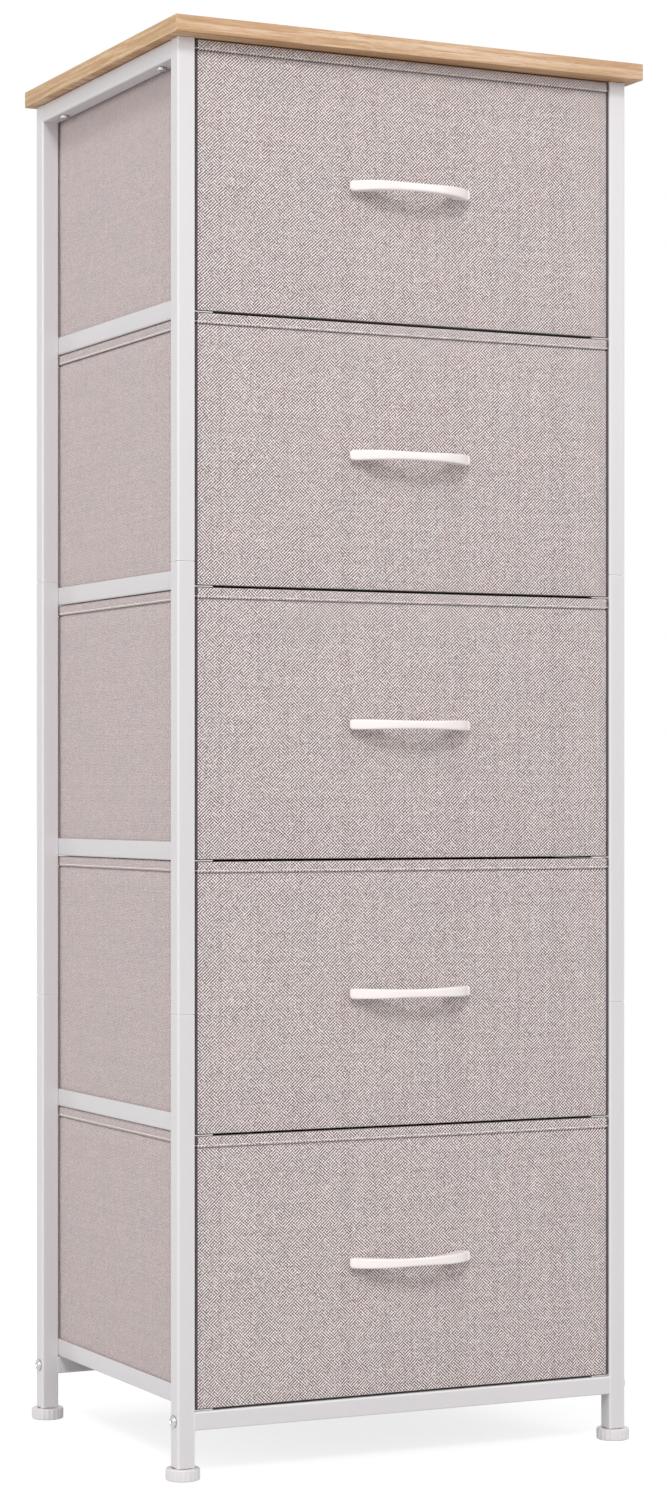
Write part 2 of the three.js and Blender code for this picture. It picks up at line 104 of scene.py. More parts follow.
# Node helpers
class Tree:
    """The node tree of one new material, with short ways to add nodes."""

    def __init__(self, name):
        self.material = bpy.data.materials.new(name)
        self.material.use_nodes = True
        self.tree = self.material.node_tree
        self.shader = self.tree.nodes["Principled BSDF"]

    def put(self, socket, value):
        if isinstance(value, bpy.types.NodeSocket):
            self.tree.links.new(value, socket)
        elif value is not None:
            socket.default_value = value

    def set(self, **values):
        for name, value in values.items():
            self.put(self.shader.inputs[name.replace("_", " ")], value)

    def math(self, operation, a, b=None, c=None):
        made = self.tree.nodes.new("ShaderNodeMath")
        made.operation = operation
        for socket, value in zip(made.inputs, (a, b, c)):
            self.put(socket, value)
        return made.outputs[0]

    def split(self, vector):
        made = self.tree.nodes.new("ShaderNodeSeparateXYZ")
        self.put(made.inputs[0], vector)
        return made.outputs

    def join(self, x, y, z):
        made = self.tree.nodes.new("ShaderNodeCombineXYZ")
        for socket, value in zip(made.inputs, (x, y, z)):
            self.put(socket, value)
        return made.outputs[0]

    def scaled(self, vector, x, y, z):
        made = self.tree.nodes.new("ShaderNodeVectorMath")
        made.operation = "MULTIPLY"
        self.put(made.inputs[0], vector)
        made.inputs[1].default_value = (x, y, z)
        return made.outputs[0]

    def noise(self, vector, scale=1.0, detail=2.0, roughness=0.5, distortion=0.0):
        made = self.tree.nodes.new("ShaderNodeTexNoise")
        self.put(made.inputs["Vector"], vector)
        made.inputs["Scale"].default_value = scale
        made.inputs["Detail"].default_value = detail
        made.inputs["Roughness"].default_value = roughness
        made.inputs["Distortion"].default_value = distortion
        return made.outputs["Fac"]

    def random(self, vector):
        made = self.tree.nodes.new("ShaderNodeTexWhiteNoise")
        made.noise_dimensions = "3D"
        self.put(made.inputs["Vector"], vector)
        return made.outputs["Value"]

    def stretch(self, value, low, high, to_low=0.0, to_high=1.0):
        made = self.tree.nodes.new("ShaderNodeMapRange")
        made.clamp = True
        for socket, v in zip(made.inputs, (value, low, high, to_low, to_high)):
            self.put(socket, v)
        return made.outputs[0]

    def mix(self, factor, a, b, blend="MIX"):
        made = self.tree.nodes.new("ShaderNodeMix")
        made.data_type = "RGBA"
        made.blend_type = blend
        self.put(made.inputs[0], factor)
        self.put(made.inputs[6], a)
        self.put(made.inputs[7], b)
        return made.outputs[2]

    def blend(self, factor, a, b):
        """Plain numbers mixed by a factor."""
        made = self.tree.nodes.new("ShaderNodeMix")
        made.data_type = "FLOAT"
        self.put(made.inputs[0], factor)
        self.put(made.inputs[2], a)
        self.put(made.inputs[3], b)
        return made.outputs[0]

    def object_place(self):
        return self.tree.nodes.new("ShaderNodeTexCoord").outputs["Object"]

    def object_normal(self):
        return self.tree.nodes.new("ShaderNodeTexCoord").outputs["Normal"]

    def sewn_place(self):
        made = self.tree.nodes.new("ShaderNodeUVMap")
        made.uv_map = WEAVE_MAP
        return made.outputs[0]

    def bump(self, height, distance, strength):
        made = self.tree.nodes.new("ShaderNodeBump")
        made.inputs["Strength"].default_value = strength
        made.inputs["Distance"].default_value = distance
        self.put(made.inputs["Height"], height)
        return made.outputs[0]


# Cloth
YARN_ACROSS = 0.00146
YARN_UP = 0.00135
WANDER = 0.6
WANDER_SLOW = 25.0
WANDER_QUICK = 60.0
CROWN_TURN = math.pi * 0.94
CROWN_DIP = 0.55
# Painted shade: a dark band at the front's two upright edges, for the shaded gaps beside the posts, and a
# dark cast on faces that look down
SHADE_BAND_X = WALL_HALF - 0.0009
SHADE_BAND_Y = WALL_FRONT + 0.0019
SHADE_BAND_BLUR = 0.0004
PAINTED_GAP_SHADE = linear(52, 46, 56)
PAINTED_UNDERSIDE_SHADE = linear(58, 52, 52)


def yarn_counts(t, place):
    """Yarns counted across and up the cloth, which wander a little from their straight lines."""
    u, v, _ = t.split(place)
    wander_u = t.noise(t.scaled(place, WANDER_SLOW, WANDER_QUICK, 1.0), detail=0.0)
    wander_v = t.noise(t.scaled(place, WANDER_QUICK, WANDER_SLOW, 1.0), detail=0.0)
    across = t.math("ADD", t.math("DIVIDE", u, YARN_ACROSS), t.math("MULTIPLY", wander_u, WANDER))
    up = t.math("ADD", t.math("DIVIDE", v, YARN_UP), t.math("MULTIPLY", wander_v, WANDER))
    return across, up


def crossing_height(t, across, up, column, row):
    """Height of the rounded yarn on top, where upright and level yarns take turns."""
    a = t.math("SUBTRACT", t.math("SUBTRACT", across, column), 0.5)
    b = t.math("SUBTRACT", t.math("SUBTRACT", up, row), 0.5)
    turn = t.math("FLOORED_MODULO", t.math("ADD", column, row), 2.0)
    crown_a = t.math("COSINE", t.math("MULTIPLY", a, CROWN_TURN))
    crown_b = t.math("COSINE", t.math("MULTIPLY", b, CROWN_TURN))
    upright = t.math("MULTIPLY", crown_a, t.math("MULTIPLY_ADD", crown_b, CROWN_DIP, 1 - CROWN_DIP))
    level = t.math("MULTIPLY", crown_b, t.math("MULTIPLY_ADD", crown_a, CROWN_DIP, 1 - CROWN_DIP))
    return t.blend(turn, upright, level)


def crossing_tone(t, place, across, up, column, row):
    """Tone around 0.5: of each crossing, of each yarn, and in slow drifts along the yarns."""
    crossing_share, column_share, row_share = 0.3, 0.10, 0.08
    drift_up_share, drift_across_share, balance = 0.22, 0.12, 0.14
    # Light and dark crossings join up along one diagonal or the other, in patches
    rising = t.math("COSINE", t.math("MULTIPLY", t.math("SUBTRACT", across, up), math.pi))
    falling = t.math("COSINE", t.math("MULTIPLY", t.math("ADD", across, up), -math.pi))
    leaning = t.noise(t.object_place(), scale=260.0, detail=2.0, roughness=0.6)
    lean = t.stretch(leaning, 0.42, 0.58, -0.55, 1.0)
    wave = t.math(
        "SUBTRACT",
        t.math("MULTIPLY", rising, t.math("MULTIPLY_ADD", lean, 0.5, 0.5)),
        t.math("MULTIPLY", falling, t.math("MULTIPLY_ADD", lean, -0.5, 0.5)),
    )
    # The third coordinate only keeps the draws apart
    of_crossing = t.random(t.join(column, row, 1.0))
    of_column = t.random(t.join(column, 0.0, 3.0))
    of_row = t.random(t.join(0.0, row, 7.0))
    depth = t.math("MULTIPLY_ADD", t.random(t.join(column, row, 5.0)), 0.8, 0.5)
    drift_up = t.noise(t.scaled(place, 420.0, 14.0, 1.0), detail=2.0)
    drift_across = t.noise(t.scaled(place, 40.0, 420.0, 1.0), detail=2.0)
    middle = t.math("MULTIPLY_ADD", of_crossing, crossing_share, (1 - crossing_share) / 2)
    tone = t.math("MULTIPLY_ADD", wave, depth, middle)
    of_yarns = t.math("MULTIPLY_ADD", of_column, column_share, t.math("MULTIPLY", of_row, row_share))
    tone = t.math("ADD", tone, of_yarns)
    tone = t.math("ADD", tone, t.math("MULTIPLY", drift_up, drift_up_share))
    return t.math("SUBTRACT", tone, t.math("MULTIPLY_ADD", drift_across, drift_across_share, balance))


def shaded_edges(t, colour):
    """The colour with painted shade: darker on the underside, and in a narrow band at the front's two
    upright edges, where the gaps beside the posts are shaded.
    """
    x, y, _ = t.split(t.object_place())
    # Painted shade for the gaps beside the posts: a narrow dark band at the front's upright edges
    gap_shade_band = t.math(
        "MULTIPLY",
        t.stretch(t.math("ABSOLUTE", x), SHADE_BAND_X, SHADE_BAND_X + SHADE_BAND_BLUR),
        t.stretch(y, SHADE_BAND_Y - SHADE_BAND_BLUR, SHADE_BAND_Y + SHADE_BAND_BLUR, 1.0, 0.0),
    )
    colour = t.mix(t.math("MULTIPLY", gap_shade_band, 0.9), colour, PAINTED_GAP_SHADE)
    # Painted shade: every face of the cloth that looks down is darkened
    below = t.stretch(t.split(t.object_normal())[2], -0.95, -0.6, 1.0, 0.0)
    return t.mix(below, colour, PAINTED_UNDERSIDE_SHADE)


def woven(name, light, dark, gap):
    """Plain weave between a light and a dark yarn colour, with a third in the gaps."""
    t = Tree(name)
    place = t.sewn_place()
    across, up = yarn_counts(t, place)
    column = t.math("FLOOR", across)
    row = t.math("FLOOR", up)
    height = crossing_height(t, across, up, column, row)
    tone = crossing_tone(t, place, across, up, column, row)
    # The drawers' sides are woven closer: less contrast and a warmer cast
    sideways = t.stretch(t.math("ABSOLUTE", t.split(t.object_normal())[0]), 0.6, 0.9)
    contrast = t.math("MULTIPLY_ADD", sideways, -0.7, 1.0)
    tone = t.math("MULTIPLY_ADD", t.math("SUBTRACT", tone, 0.5), contrast, 0.5)
    yarn = t.mix(t.stretch(tone, 0.0, 1.0), dark, light)
    colour = t.mix(t.stretch(height, 0.0, 0.3), gap, yarn)
    warm = t.mix(1.0, colour, (1.03, 0.985, 0.98, 1.0), "MULTIPLY")
    # Painted shade at the front's upright edges and on the underside
    colour = shaded_edges(t, t.mix(sideways, colour, warm))
    pinkish = (1.03, 0.99, 0.99, 1.0)
    greyish = (0.985, 0.99, 0.985, 1.0)
    patch = t.noise(t.object_place(), scale=26.0, detail=3.0, roughness=0.6)
    tint = t.mix(t.stretch(patch, 0.36, 0.64), greyish, pinkish)
    t.set(
        Base_Color=t.mix(1.0, colour, tint, "MULTIPLY"),
        Roughness=t.math("MULTIPLY_ADD", height, -0.12, 0.95),
        Normal=t.bump(height, 0.0003, 0.7),
    )
    t.shader.inputs["Sheen Weight"].default_value = 0.25
    t.shader.inputs["Sheen Roughness"].default_value = 0.5
    t.shader.inputs["Specular IOR Level"].default_value = 0.2
    return t.material


# Other materials
def painted_steel():
    """Satin powder coat: faint orange peel, a little unevenness in tone, and a painted highlight that
    makes it lighter along the edges.
    """
    t = Tree("painted_steel")
    place = t.object_place()
    peel = t.noise(place, scale=620.0, detail=2.0)
    slow = t.noise(place, scale=9.0, detail=2.0)
    flat = t.mix(slow, linear(210, 206, 208), linear(215, 211, 213))
    # Painted highlight: the colour is lighter on the rounded corners and edges, found by their pointiness
    pointiness = t.tree.nodes.new("ShaderNodeNewGeometry").outputs["Pointiness"]
    painted_edge_highlight = t.stretch(pointiness, 0.508, 0.565)
    t.set(
        Base_Color=t.mix(painted_edge_highlight, flat, linear(242, 240, 241)),
        Roughness=t.stretch(peel, 0.3, 0.7, 0.30, 0.40),
        Normal=t.bump(peel, 0.00008, 0.35),
    )
    t.shader.inputs["Coat Weight"].default_value = 0.35
    t.shader.inputs["Coat Roughness"].default_value = 0.18
    return t.material


def oak():
    """Light oak: bands and streaks along the board's width, and along y on its two side edges."""
    t = Tree("oak")
    x, y, z = t.split(t.object_place())
    normal_x, _, normal_z = t.split(t.object_normal())
    below = t.math("LESS_THAN", normal_z, -0.7)
    side = t.math("GREATER_THAN", t.math("ABSOLUTE", normal_x), 0.7)
    along = t.blend(side, x, y)
    across = t.blend(side, y, t.math("ADD", x, 0.37))
    bends = t.join(t.math("MULTIPLY", along, 3.2), t.math("MULTIPLY", across, 11.0), z)
    bent = t.math("MULTIPLY_ADD", t.noise(bends, detail=2.0), 0.03, across)
    grain = t.join(along, bent, z)
    broad = t.noise(t.scaled(grain, 5.0, 60.0, 110.0), detail=3.0, roughness=0.55)
    rings = t.noise(t.scaled(grain, 7.0, 260.0, 330.0), detail=3.0, roughness=0.6)
    fine = t.noise(t.scaled(grain, 26.0, 1100.0, 1100.0), detail=2.0, roughness=0.6)
    pores = t.noise(t.scaled(grain, 90.0, 2600.0, 2600.0), detail=1.0)
    tone = t.math("MULTIPLY_ADD", broad, 0.55, t.math("MULTIPLY", rings, 0.75))
    tone = t.math("ADD", tone, t.math("MULTIPLY_ADD", fine, 0.36, -0.33))
    colour = t.mix(t.stretch(tone, 0.34, 0.66), linear(186, 145, 107), linear(215, 181, 148))
    colour = t.mix(t.stretch(tone, 0.5, 0.72), colour, linear(226, 198, 169))
    pore = t.stretch(pores, 0.60, 0.70)
    colour = t.mix(t.math("MULTIPLY", pore, 0.55), colour, linear(168, 124, 88))
    # Painted shade: the board's side edges are a touch yellower and its underside darker and browner than
    # the top and front
    edge = t.mix(side, (1.0, 1.0, 1.0, 1.0), (0.99, 1.0, 0.93, 1.0))
    edge = t.mix(below, edge, (0.86, 0.82, 0.74, 1.0))
    t.set(
        Base_Color=t.mix(1.0, colour, edge, "MULTIPLY"),
        Roughness=t.stretch(tone, 0.3, 0.7, 0.62, 0.5),
        Normal=t.bump(t.math("SUBTRACT", tone, t.math("MULTIPLY", pore, 0.5)), 0.00012, 0.5),
    )
    t.shader.inputs["Specular IOR Level"].default_value = 0.35
    return t.material


def moulded(name, colour, roughness, grain):
    """Moulded plastic with a faint surface grain."""
    t = Tree(name)
    speck = t.noise(t.object_place(), scale=grain, detail=2.0)
    darker = tuple(0.975 * c for c in colour[:3]) + (1.0,)
    t.set(
        Base_Color=t.mix(speck, darker, colour),
        Roughness=t.stretch(speck, 0.3, 0.7, roughness - 0.03, roughness + 0.04),
        Normal=t.bump(speck, 0.00004, 0.25),
    )
    return t.material


def zinc():
    """Bright plated steel with fine marks."""
    t = Tree("zinc")
    place = t.object_place()
    marks = t.noise(place, scale=2400.0, detail=2.0)
    cloud = t.noise(place, scale=300.0, detail=2.0)
    t.set(
        Base_Color=t.mix(cloud, linear(182, 181, 184), linear(212, 211, 213)),
        Roughness=t.stretch(marks, 0.3, 0.7, 0.22, 0.36),
        Normal=t.bump(marks, 0.00003, 0.3),
    )
    t.shader.inputs["Metallic"].default_value = 1.0
    return t.material


def fibreboard():
    t = Tree("fibreboard")
    place = t.object_place()
    fibres = t.noise(place, scale=1500.0, detail=3.0, distortion=1.5)
    cloud = t.noise(place, scale=60.0, detail=2.0)
    tone = t.math("MULTIPLY_ADD", cloud, 0.4, t.math("MULTIPLY", fibres, 0.6))
    t.set(
        Base_Color=t.mix(t.stretch(tone, 0.35, 0.65), linear(150, 118, 84), linear(186, 152, 116)),
        Roughness=0.9,
        Normal=t.bump(fibres, 0.0001, 0.4),
    )
    return t.material


def thread():
    """Twisted sewing thread, lighter than the cloth."""
    t = Tree("thread")
    u, v, _ = t.split(t.sewn_place())
    ply = t.math("SINE", t.math("MULTIPLY", t.math("ADD", u, t.math("MULTIPLY", v, 0.8)), 9000.0))
    t.set(
        Base_Color=t.mix(t.stretch(ply, -1.0, 1.0), linear(232, 225, 222), linear(253, 249, 247)),
        Roughness=0.75,
        Normal=t.bump(ply, 0.00005, 0.6),
    )
    return t.material


CLOTH = woven("woven_cloth", linear(255, 246, 245), linear(92, 76, 75), linear(88, 74, 73))
STEEL = painted_steel()
OAK = oak()
HANDLE_WHITE = moulded("handle_white", linear(246, 238, 236), 0.22, 500.0)
FOOT_WHITE = moulded("foot_white", linear(225, 221, 222), 0.4, 900.0)
ZINC = zinc()
FIBRE = fibreboard()
THREAD = thread()


# Mesh helpers
def band(first, second, count):
    """Quads between two closed rings, each given by the number of its first vertex."""
    after = [(i + 1) % count for i in range(count)]
    return [(first + i, first + j, second + j, second + i) for i, j in enumerate(after)]


class Shell:
    """Vertices and faces gathered from several closed forms."""

    def __init__(self):
        self.vertices = []
        self.faces = []

    def add(self, vertices, faces):
        start = len(self.vertices)
        self.vertices.extend(tuple(map(float, p)) for p in vertices)
        self.faces.extend(tuple(start + i for i in f) for f in faces)

    def loft(self, rings):
        """Closed rings of equal length joined in order, with flat ends, wound to face outward."""
        count = len(rings[0])
        last = (len(rings) - 1) * count
        faces = []
        for start in range(0, last, count):
            faces += band(start, start + count, count)
        faces.append(tuple(reversed(range(count))))
        faces.append(tuple(range(last, last + count)))
        self.add(np.concatenate(rings), faces)

    def loop(self, rings):
        """Closed rings of equal length joined in order and the last to the first, like a tube's wall."""
        count = len(rings[0])
        starts = [k * count for k in range(len(rings))]
        faces = []
        for first, second in zip(starts, starts[1:] + starts[:1]):
            faces += band(first, second, count)
        self.add(np.concatenate(rings), faces)


def piece(name, shell, material, body, nodes=(), uv=None, smooth_under=40.0):
    """A new piece that rides on a body and stands for the given CAD nodes."""
    mesh = bpy.data.meshes.new(name)
    mesh.from_pydata(shell.vertices, [], shell.faces)
    mesh.materials.append(material)
    if uv is not None:
        layer = mesh.uv_layers.new(name=WEAVE_MAP)
        layer.data.foreach_set("uv", np.asarray(uv, np.float32).ravel())
    mesh.shade_smooth()
    mesh.set_sharp_from_angle(angle=math.radians(smooth_under))
    mesh.validate()
    made = bpy.data.objects.new(name, mesh)
    bpy.context.scene.collection.objects.link(made)
    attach(made, body)
    if nodes:
        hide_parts(*nodes)
    return made


def repaint(node, material):
    """Gives a CAD solid that stays in the scene one of the materials above."""
    for material_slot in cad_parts[node].material_slots:
        material_slot.material = material


def quarter(steps):
    """Angles from 0 to a right angle."""
    return [math.pi / 2 * k / steps for k in range(steps + 1)]


def around(sides, shift=0.0):
    """Angles round a circle, shifted by a share of a step, and the unit circle's points there."""
    angles = (np.arange(sides) + shift) * 2 * math.pi / sides
    return angles, np.stack([np.cos(angles), np.sin(angles)], 1)


def rounded(half_x, half_y, radius, steps, centre):
    """Counter-clockwise outline of a rectangle with rounded corners."""
    points = []
    for turn, (sx, sy) in enumerate(CORNERS):
        corner_x = centre[0] + sx * (half_x - radius)
        corner_y = centre[1] + sy * (half_y - radius)
        for k in range(steps + 1):
            angle = math.radians(90 * (turn + k / steps))
            points.append((corner_x + radius * math.cos(angle), corner_y + radius * math.sin(angle)))
    return np.array(points)


def shouldered(half, radius, centre):
    """A square outline with rounded corners and one more point on the flats beside each of them."""
    corners = rounded(half, half, radius, TUBE_STEPS, centre).reshape(len(CORNERS), TUBE_STEPS + 1, 2)
    points = []
    for turn, (sx, sy) in enumerate(CORNERS):
        upright, level = (0.0, -sy * SHOULDER), (-sx * SHOULDER, 0.0)
        before, after = (upright, level) if turn % 2 == 0 else (level, upright)
        points += [corners[turn][0] + before, *corners[turn], corners[turn][-1] + after]
    return np.array(points)


def placed(outline, level, axes="xyz"):
    """A flat outline at a level. The axes say where its two coordinates and the level go."""
    points = np.zeros((len(outline), 3))
    points[:, "xyz".index(axes[0])] = outline[:, 0]
    points[:, "xyz".index(axes[1])] = outline[:, 1]
    points[:, "xyz".index(axes[2])] = level
    return points


def tube(shell, centre, low, high, axes="xyz"):
    """A length of square tube along the third axis, open at both ends, with eased end edges."""
    half = TUBE / 2
    outer = shouldered(half, TUBE_CORNER, centre)
    eased = shouldered(half - TUBE_EDGE, TUBE_CORNER - TUBE_EDGE, centre)
    inner = shouldered(half - TUBE_WALL, TUBE_INNER_CORNER, centre)
    levels = (
        (inner, low),
        (eased, low),
        (outer, low + TUBE_EDGE),
        (outer, low + TUBE_EDGE + SHOULDER),
        (outer, high - TUBE_EDGE - SHOULDER),
        (outer, high - TUBE_EDGE),
        (eased, high),
        (inner, high),
    )
    shell.loop([placed(outline, level, axes) for outline, level in levels])


def slab(low, high, corner, edge, corner_steps, edge_steps=4):
    """A level board that fills a box, with rounded corners and edges."""
    middle = ((low.x + high.x) / 2, (low.y + high.y) / 2)
    half_x, half_y = (high.x - low.x) / 2, (high.y - low.y) / 2
    turns = [(edge * (1 - math.sin(a)), edge * (1 - math.cos(a))) for a in quarter(edge_steps)]
    rows = [(inset, low.z + rise) for inset, rise in turns]
    rows += [(inset, high.z - drop) for drop, inset in turns]
    shell = Shell()
    shell.loft(
        [
            placed(rounded(half_x - inset, half_y - inset, corner - inset, corner_steps, middle), z)
            for inset, z in rows
        ]
    )
    return shell


# Top board
def make_board():
    corner, edge = 0.0016, 0.0006
    low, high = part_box("top_board")
    shell = slab(low, high, corner, edge, 6)
    piece("board", shell, OAK, "frame", ["top_board"])


# Steel frame
def runner_section(height, side):
    """Counter-clockwise outline, seen from -y, of a folded angle with a rounded bend."""
    bend, inner_bend, steps = 0.0016, 0.0006, 5
    lip = SHEET_LIP
    outside = INNER_FACE + FLANGE_SINK
    inside = INNER_FACE - SHEET
    far = INNER_FACE - LEDGE_WIDTH
    top = height + FLANGE_HEIGHT
    ledge_top = height + SHEET
    arcs = (
        (outside - lip, top - lip, lip, 0, 90),
        (inside + lip, top - lip, lip, 90, 180),
        (inside - inner_bend, ledge_top + inner_bend, inner_bend, 0, -90),
        (far + lip, ledge_top - lip, lip, 90, 180),
        (far + lip, height + lip, lip, 180, 270),
        (outside - bend, height + bend, bend, 270, 360),
    )
    section = []
    for x, z, radius, start, end in arcs:
        for k in range(steps + 1):
            angle = math.radians(start + (end - start) * k / steps)
            section.append((side * (x + radius * math.cos(angle)), z + radius * math.sin(angle)))
    return np.array(section if side > 0 else section[::-1])


def runner(shell, height, side):
    """A folded angle, its flange against the posts and its ledge under the drawer."""
    slope_end, slope_start, flattened_share = 0.0055, 0.0085, 0.98
    tab_lift, tab_inset = 0.0002, 0.00005
    whole = runner_section(height, side)
    # In front only the ledge goes on, because the flange ends in a slope behind the drawer's stiff front
    ledge_only = whole.copy()
    ledge_only[:, 1] -= flattened_share * np.maximum(whole[:, 1] - height - SHEET, 0.0)
    ends = (
        (whole, RUNNER_BACK),
        (whole, RUNNER_FRONT + slope_start),
        (ledge_only, RUNNER_FRONT + slope_end),
        (ledge_only, RUNNER_FRONT),
    )
    shell.loft([placed(outline, y, "xzy")[::-1] for outline, y in ends])
    # Upturned tab behind the drawer
    outside, far = INNER_FACE + FLANGE_SINK, INNER_FACE - LEDGE_WIDTH
    middle = (side * (outside + far) / 2, height + (STOP_HEIGHT + tab_lift) / 2)
    tab = rounded((outside - far) / 2, (STOP_HEIGHT - tab_lift) / 2, SHEET_LIP, 4, middle)
    shell.loft([placed(tab, y, "xzy")[::-1] for y in (RUNNER_BACK - tab_inset, RUNNER_BACK - LEDGE)])


def spigot(shell, x, y, seam):
    """A thinner square tube in a post's upper end, for the post above to slip over."""
    clearance, wall, corner, inner_corner = 0.0003, 0.0015, 0.001, 0.0004
    below, above = 0.012, 0.024
    half = TUBE / 2 - TUBE_WALL - clearance
    outer = rounded(half, half, corner, 3, (x, y))
    inner = rounded(half - wall, half - wall, inner_corner, 3, (x, y))
    low, high = seam - below, seam + above
    shell.loop([placed(inner, low), placed(outer, low), placed(outer, high), placed(inner, high)])


def cross_rail(end, y):
    """A bottom rail between two posts, with a plate in each of its ends."""
    plate_corner, plate_inset, plate_end = 0.0008, 0.0002, 0.003
    shell = Shell()
    reach = INNER_FACE + WELD
    tube(shell, (y, RAIL_Z), -reach, reach, "yzx")
    half = TUBE / 2 - TUBE_WALL
    plate = rounded(half, half, plate_corner, 3, (y, RAIL_Z))
    for ends in ((plate_inset - reach, plate_end - reach), (reach - plate_end, reach - plate_inset)):
        shell.loft([placed(plate, x, "yzx") for x in ends])
    piece(f"{end}_cross_rail", shell, STEEL, "frame", [f"{end}_bottom_rail"])


def make_frame():
    sections = {
        "lower": (POST_FOOT, SEAMS[0], (5, 4)),
        "middle": (SEAMS[0] + SEAM_GAP, SEAMS[1], (3, 2)),
        "upper": (SEAMS[1] + SEAM_GAP, POST_TOP, (1,)),
    }
    reach = TUBE / 2 - WELD
    for side_name, side in SIDES:
        x = side * POST_X
        for name, (low, high, drawers) in sections.items():
            shell = Shell()
            for y in POST_Y:
                tube(shell, (x, y), low, high)
                if name != "upper":
                    spigot(shell, x, y, high)
            for number in drawers:
                runner(shell, ledge_z(number), side)
            if name == "upper":
                tube(shell, (x, POST_TOP - TUBE / 2), POST_Y[0] + reach, POST_Y[1] - reach, "xzy")
            node = f"{side_name}_side_frame_{name}"
            piece(f"{side_name}_ladder_{name}", shell, STEEL, "frame", [node])
    for end, y, _ in ENDS:
        cross_rail(end, y)


# Fasteners
BOARD_SCREW_INSET = 0.04405
SOCKET_HEAD = {"radius": 0.0052, "height": 0.0027, "recess": 0.0021, "depth": 0.0016, "kind": "socket"}
CROSS_HEAD = {"radius": 0.0044, "height": 0.0024, "recess": 0.0026, "depth": 0.0013, "kind": "cross"}
# A screw's thread ends inside its head, just over the head's underside
IN_HEAD = 0.0004
BOLT_THREAD = {"radius": 0.003, "pitch": 0.001, "depth": 0.0005, "low": -0.0232, "high": IN_HEAD}
BOARD_THREAD = {"radius": 0.002, "pitch": 0.0014, "depth": 0.0004, "low": -0.0252, "high": IN_HEAD}
HANDLE_THREAD = {"radius": 0.002, "pitch": 0.0012, "depth": 0.0003, "low": -0.0119, "high": IN_HEAD}
STUD_THREAD = {"radius": 0.004, "pitch": 0.00125, "depth": 0.0006, "low": 0.0033, "high": 0.0413}
BOLT_SIDES = 20
SCREW_SIDES = 14
STUD_SIDES = 28


def screw_head(shell, spin, centre, radius, height, recess, depth, kind):
    """A domed head with a hexagon socket or a cross recess, which faces +z before it is turned."""
    seat, side, rim, recess_edge, recess_dip = 0.0003, 0.0002, 0.0004, 0.0001, 0.0002
    sides, steps, cross_width_share, least = 48, 8, 0.24, 1e-6
    angles, circle = around(sides, 0.5)
    if kind == "socket":
        sector = (angles + math.pi / 6) % (math.pi / 3) - math.pi / 6
        hole = circle * (recess * math.cos(math.pi / 6) / np.cos(sector))[:, None]
    else:
        narrow = np.maximum(np.abs(circle).min(1), least)
        hole = circle * np.minimum(recess, recess * cross_width_share / narrow)[:, None]
    flat = recess + rim
    top = seat + height
    rows = [(circle * radius * 0.96, seat), (circle * radius, seat + side)]
    for angle in quarter(steps)[1:]:
        dome = flat + (radius - flat) * math.cos(angle)
        rows.append((circle * dome, seat + side + (height - side) * math.sin(angle)))
    rows += [
        (hole * 1.04, top),
        (hole, top - recess_edge),
        (hole * 0.94, top - depth),
        (hole * 0.5, top - depth - recess_dip),
    ]
    shell.loft([placed(outline, z) @ np.array(spin, float).T + np.array(centre) for outline, z in rows])


def threaded(shell, spin, centre, sides, radius, pitch, depth, low, high):
    """A shank with a real helical thread, from its low to its high end on the screw's axis."""
    steps_per_turn = 6
    steps = max(4, int((high - low) / pitch * steps_per_turn))
    angles, circle = around(sides)
    rings = []
    for k in range(steps + 1):
        z = low + (high - low) * k / steps
        phase = (z / pitch - angles / (2 * math.pi)) % 1.0
        r = radius - depth * (1 - np.abs(2 * phase - 1))
        if k in (0, steps):
            r = np.full(sides, radius - depth)
        rings.append(placed(circle * r[:, None], z) @ np.array(spin, float).T + np.array(centre))
    shell.loft(rings)


def make_screw(name, node, body, centre, axis, head, sides, shank):
    """A screw or bolt whose head faces along the axis."""
    spin = Vector((0, 0, 1)).rotation_difference(Vector(axis)).to_matrix()
    shell = Shell()
    screw_head(shell, spin, centre, **head)
    threaded(shell, spin, centre, sides, **shank)
    piece(name, shell, ZINC, body, [node])


def make_fasteners():
    for side_name, side in SIDES:
        for end, y, inward in ENDS:
            corner = f"{end}_{side_name}"
            make_screw(
                f"{corner}_bolt", f"{corner}_frame_bolt", "frame",
                (side * OUTER_FACE, y, RAIL_Z), (side, 0, 0), SOCKET_HEAD, BOLT_SIDES, BOLT_THREAD,
            )
            place = (side * POST_X, y + inward * BOARD_SCREW_INSET, POST_TOP - TUBE)
            make_screw(
                f"{corner}_screw", f"{corner}_board_screw", "frame",
                place, (0, 0, -1), CROSS_HEAD, SCREW_SIDES, BOARD_THREAD,
            )


# Levelling feet
FLUTES = 20
FLUTE_STEPS = 8
FLUTE_DEPTH = 0.0005
PAD_RADIUS = 0.0146
PAD_HEIGHT = 0.01
PAD_BEVEL = 0.0014
PAD_STEPS = 4
GROOVE_RADII = (0.0095, 0.0063)
GROOVE_DEPTH = 0.0008
BORE = 0.0043
BORE_FLOOR = 0.003
CHAMFER = 0.0003


